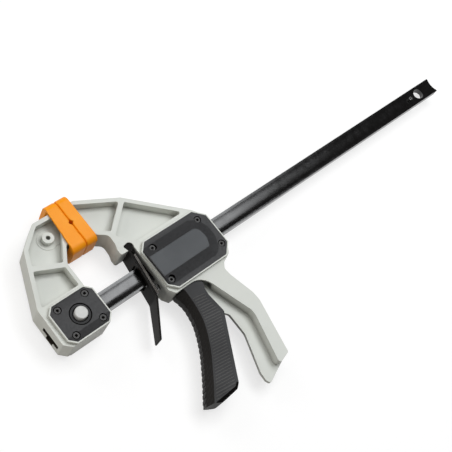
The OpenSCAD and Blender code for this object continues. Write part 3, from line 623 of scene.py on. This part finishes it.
def coil(node, name, body, turns, far=1):
    """A coil spring in the room of its CAD node."""
    low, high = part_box(node)
    span = high - low
    along = long_axis(span)
    middle = (low + high) / 2
    wire = WIRE * MM
    bm = wound(min(span) / 2 - wire / 2, wire, turns, span[along] - 3 * wire)
    bmesh.ops.translate(bm, verts=bm.verts[:], vec=(0.0, 0.0, -span[along] / 2))
    way = Vector([1.0 if i == along else 0.0 for i in range(3)])
    bmesh.ops.rotate(bm, verts=bm.verts[:], cent=(0.0, 0.0, 0.0),
                     matrix=way.to_track_quat("Z", "Y").to_matrix())
    bmesh.ops.translate(bm, verts=bm.verts[:], vec=middle)
    turned_outward(bm)
    piece = stands_for(as_object(name, bm, "spring", smooth_below=60.0), node, body)
    anchor = middle.copy()
    anchor[along] = (low, high)[far][along]
    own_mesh(piece)


coil("drive_spring", "drive_return_spring", "sliding_jaw", 6)
coil("brake_spring", "brake_return_spring", "sliding_jaw", 3)
coil("lock_spring", "button_return_spring", "bar_frame", 3,
     far=0)


# ---- grips moulded on the trigger, in millimetres ----

RIBBED = [(46.4, -40.3), (45.2, -51.0), (43.0, -60.5), (38.0, -72.0), (31.2, -84.3),
          (23.8, -95.0), (16.3, -105.0), (9.0, -114.2), (5.5, -119.0), (27.5, -119.0),
          (28.6, -116.8), (59.4, -62.7), (57.0, -48.5), (58.8, -41.5)]
# Outline of the near-black sheets on the trigger's toe: painted shade on the lower band of each
# side.
TOE_SHADE_OUTLINE = [(4.6, -119.5), (26.4, -119.2), (30.2, -116.9), (31.3, -117.6), (31.0, -118.4),
             (26.8, -121.6), (9.2, -122.6), (4.8, -120.4)]
TRIGGER_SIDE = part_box("trigger")[1].z / MM
# The ribs of the sides: width, lean in degrees, place of the first, rounding.
RIB_WIDTH, RIB_LEAN, RIB_START, RIB_ROUND = 0.95, -9.0, 0.4, 0.2
# How far the grips stand in and out of the side.
RIB_SUNK, RIB_PROUD = 0.05, 0.28
SHEET_SUNK, FIELD_PROUD, TOE_SHADE_PROUD = 0.1, 0.04, 0.05
# The teeth: distance between them, length, width, height, rounding, and room at the ends.
TOOTH_PITCH, TOOTH_LENGTH, TOOTH_WIDTH, TOOTH_PROUD, TOOTH_ROUND = 4.86, 3.2, 7.0, 0.55, 0.3
TEETH_FROM, TEETH_SHORT = 3.0, 2.5
# Half the width of the flat that they stand on, and how near to it a corner has to be.
FLAT_HALF, FLAT_NEAR = 3.7, 0.05


def raised_face(outline, cuts, low, high, bevel=0.0):
    """A solid on the outline, cut back by lines (point, way out), from one height to another."""
    bm = bmesh.new()
    bm.faces.new([bm.verts.new((x * MM, y * MM, low * MM)) for x, y in outline])
    for point, out in cuts:
        bmesh.ops.bisect_plane(
            bm, geom=bm.verts[:] + bm.edges[:] + bm.faces[:], dist=ON_CUT,
            plane_co=(point[0] * MM, point[1] * MM, 0.0), plane_no=(out[0], out[1], 0.0),
            clear_outer=True, clear_inner=False)
    if not bm.faces:
        return bm
    raised = bmesh.ops.extrude_face_region(bm, geom=bm.faces[:], use_keep_orig=True)
    tops = [v for v in raised["geom"] if isinstance(v, bmesh.types.BMVert)]
    bmesh.ops.translate(bm, verts=tops, vec=(0.0, 0.0, (high - low) * MM))
    turned_outward(bm)
    if bevel:
        rim = [e for e in sharp_edges(bm) if all(v in tops for v in e.verts)]
        round_edges(bm, rim, bevel)
    return bm


def gathered(solids):
    """One bmesh of many."""
    whole = bmesh.new()
    for solid in solids:
        step = bpy.data.meshes.new("step")
        solid.to_mesh(step)
        solid.free()
        whole.from_mesh(step)
        bpy.data.meshes.remove(step)
    return whole


def on_both_sides(bm):
    """Adds the mirror of a closed solid across the part's middle plane."""
    copied = bmesh.ops.duplicate(bm, geom=bm.verts[:] + bm.edges[:] + bm.faces[:])["geom"]
    verts = [v for v in copied if isinstance(v, bmesh.types.BMVert)]
    bmesh.ops.scale(bm, vec=(1.0, 1.0, -1.0), verts=verts)
    return turned_outward(bm)


def on_trigger(name, bm, finish):
    """A piece that is moulded on the trigger."""
    piece = as_object(name, bm, finish)
    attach(piece, "trigger")
    return piece


def side_ribs():
    """Ribs across one side of the trigger, from its toe up."""
    lean = math.radians(RIB_LEAN)
    up = Vector((-math.sin(lean), math.cos(lean)))
    reach = [Vector(corner).dot(up) for corner in RIBBED]
    at = min(reach) + RIB_START
    while at + RIB_WIDTH < max(reach):
        yield raised_face(RIBBED, [(up * (at + RIB_WIDTH), up), (up * at, -up)],
                          TRIGGER_SIDE - RIB_SUNK, TRIGGER_SIDE + RIB_PROUD, RIB_ROUND)
        at += RIB_PITCH


def flat_sheet(outline, proud):
    """A thin flat on one side of the trigger."""
    return raised_face(outline, [], TRIGGER_SIDE - SHEET_SUNK, TRIGGER_SIDE + proud)


def ridge_path():
    """The edge of the flat along the trigger's ridge, from its top down, seen from above."""
    corners = {(round(v.co.x, 5), round(v.co.y, 5)) for v in CAD["trigger"].data.vertices
               if abs(abs(v.co.z) - FLAT_HALF * MM) < FLAT_NEAR * MM
               and v.co.y < RIDGE_TOP * MM}
    return [Vector(place) for place in sorted(corners, key=lambda place: -place[1])]


def place_along(path, left):
    """A place on a path, by its distance from the start, and the way of the path there."""
    for start, end in zip(path, path[1:]):
        run = (end - start).length
        if left <= run:
            way = (end - start).normalized()
            return start + way * left, way
        left -= run


def tooth_at(middle, way):
    """A short bar across the ridge's flat, half of its height sunk in it."""
    out = Vector((way.y, -way.x))
    if out.x > 0:
        out.negate()
    turn = Matrix(((way.x, out.x, 0.0), (way.y, out.y, 0.0), (0.0, 0.0, 1.0))).to_4x4()
    tooth = bmesh.new()
    bmesh.ops.create_cube(
        tooth, size=1.0, matrix=Matrix.Translation((middle.x, middle.y, 0.0)) @ turn
        @ Matrix.Diagonal((TOOTH_LENGTH * MM, 2 * TOOTH_PROUD * MM, TOOTH_WIDTH * MM, 1.0)))
    turned_outward(tooth)
    round_edges(tooth, tooth.edges[:], TOOTH_ROUND)
    return tooth


def front_teeth():
    """Teeth down the flat of the trigger's ridge."""
    path = ridge_path()
    length = sum((end - start).length for start, end in zip(path, path[1:]))
    at = TEETH_FROM * MM
    while at < length - TEETH_SHORT * MM:
        yield tooth_at(*place_along(path, at))
        at += TOOTH_PITCH * MM


on_trigger("trigger_side_grips", on_both_sides(gathered(side_ribs())), "grip")
on_trigger("trigger_side_fields", on_both_sides(flat_sheet(RIBBED, FIELD_PROUD)), "trigger")
# Near-black sheets on the toe's sides, as painted shade.
on_trigger("trigger_toe_shade", on_both_sides(flat_sheet(TOE_SHADE_OUTLINE, TOE_SHADE_PROUD)), "recess")
on_trigger("trigger_teeth", gathered(front_teeth()), "ridge")


# ---- floor, light and camera, in metres and watts ----

FLOOR_SIZE, FLOOR_GAP = 6.0, 0.02 * MM
# The floor as it lights the part, as the camera and glossy pieces see it, and its glow.
FLOOR_LIGHTING, FLOOR_SEEN = (0.38, 0.355, 0.33, 1.0), (0.36, 0.357, 0.353, 1.0)
FLOOR_GLOW = 0.7
WHITE = (1.0, 1.0, 1.0)
# Sines of the heights above the horizon between which the dome turns dark.
DOME_EDGE = (0.12, 0.32)
MIDDLE = (0.05, 0.0, 0.0)


def make_floor():
    """A plain floor just under the part, paler to the camera than to the part."""
    bm = bmesh.new()
    bmesh.ops.create_grid(bm, x_segments=1, y_segments=1, size=FLOOR_SIZE,
                          matrix=Matrix.Translation((0.0, 0.0, CAD_BOX[0].z - FLOOR_GAP)))
    mesh = bpy.data.meshes.new("floor")
    bm.to_mesh(mesh)
    bm.free()
    floor = bpy.data.objects.new("floor", mesh)
    SCENE.collection.objects.link(floor)
    made = bpy.data.materials.new("pale_floor")
    made.use_nodes = True
    tree = made.node_tree
    tree.nodes.clear()
    ray = add(tree, "ShaderNodeLightPath")
    seen = math_node(tree, "MAXIMUM", ray.outputs["Is Camera Ray"],
                     math_node(tree, "MAXIMUM", ray.outputs["Is Glossy Ray"],
                               ray.outputs["Is Transmission Ray"]))
    shader = add(tree, "ShaderNodeBsdfPrincipled", {
        "Base Color": mix_colour(tree, seen, FLOOR_LIGHTING, FLOOR_SEEN),
        "Roughness": 0.9, "Specular IOR Level": 0.0, "Emission Color": WHITE + (1.0,),
        "Emission Strength": math_node(tree, "MULTIPLY", seen, FLOOR_GLOW)})
    add(tree, "ShaderNodeOutputMaterial", {"Surface": shader.outputs[0]})
    mesh.materials.append(made)


def make_world(horizon, overhead):
    """A studio dome, pale near the horizon and darker overhead."""
    world = bpy.data.worlds.new("studio")
    SCENE.world = world
    world.use_nodes = True
    tree = world.node_tree
    tree.nodes.clear()
    way = add(tree, "ShaderNodeTexCoord").outputs["Generated"]
    height = add(tree, "ShaderNodeSeparateXYZ", {0: way}).outputs["Z"]
    sky = add(tree, "ShaderNodeBackground", {
        "Color": WHITE + (1.0,),
        "Strength": remap(tree, height, DOME_EDGE, (horizon, overhead))})
    add(tree, "ShaderNodeOutputWorld", {"Surface": sky.outputs[0]})


def softbox(name, at, aim, size, power, colour=WHITE):
    """A rectangular lamp that looks from one place to another."""
    data = bpy.data.lights.new(name, "AREA")
    data.shape = "RECTANGLE"
    data.size, data.size_y = size
    data.energy = power
    data.color = colour
    lamp = bpy.data.objects.new(name, data)
    lamp.location = at
    lamp.rotation_euler = (Vector(aim) - Vector(at)).to_track_quat("-Z", "Y").to_euler()
    SCENE.collection.objects.link(lamp)


def make_camera(at, right, up, back, lens):
    """A camera by its place and the ways of its own three axes."""
    data = bpy.data.cameras.new("camera")
    data.lens = lens
    data.sensor_width = 36.0
    data.clip_start, data.clip_end = 0.01, 50.0
    camera = bpy.data.objects.new("camera", data)
    turn = Matrix((right, up, back)).transposed().to_4x4()
    camera.matrix_world = Matrix.Translation(at) @ turn
    SCENE.collection.objects.link(camera)
    SCENE.camera = camera


make_floor()
make_world(horizon=0.45, overhead=0.06)
softbox("key", at=(-0.2, 1.7, 0.9), aim=MIDDLE, size=(1.2, 1.2), power=9.0)
softbox("overhead", at=(0.1, 0.3, 1.3), aim=MIDDLE, size=(0.7, 0.7), power=4.4)
softbox("fill", at=(-0.6, 0.05, 0.2), aim=(-0.05, 0.0, 0.0), size=(0.5, 0.4), power=0.95,
        colour=(1.0, 0.965, 0.91))
softbox("gloss", at=(0.6, 0.0, 1.1), aim=MIDDLE, size=(1.0, 0.5), power=9.2,
        colour=(0.96, 0.98, 1.0))
make_camera(at=(-0.30851, -0.12665, 0.6673), right=(0.702192, -0.626061, 0.339077),
            up=(0.467239, 0.764544, 0.444027), back=(-0.537228, -0.153362, 0.829377),
            lens=71.525)
SCENE.view_settings.view_transform = "Standard"
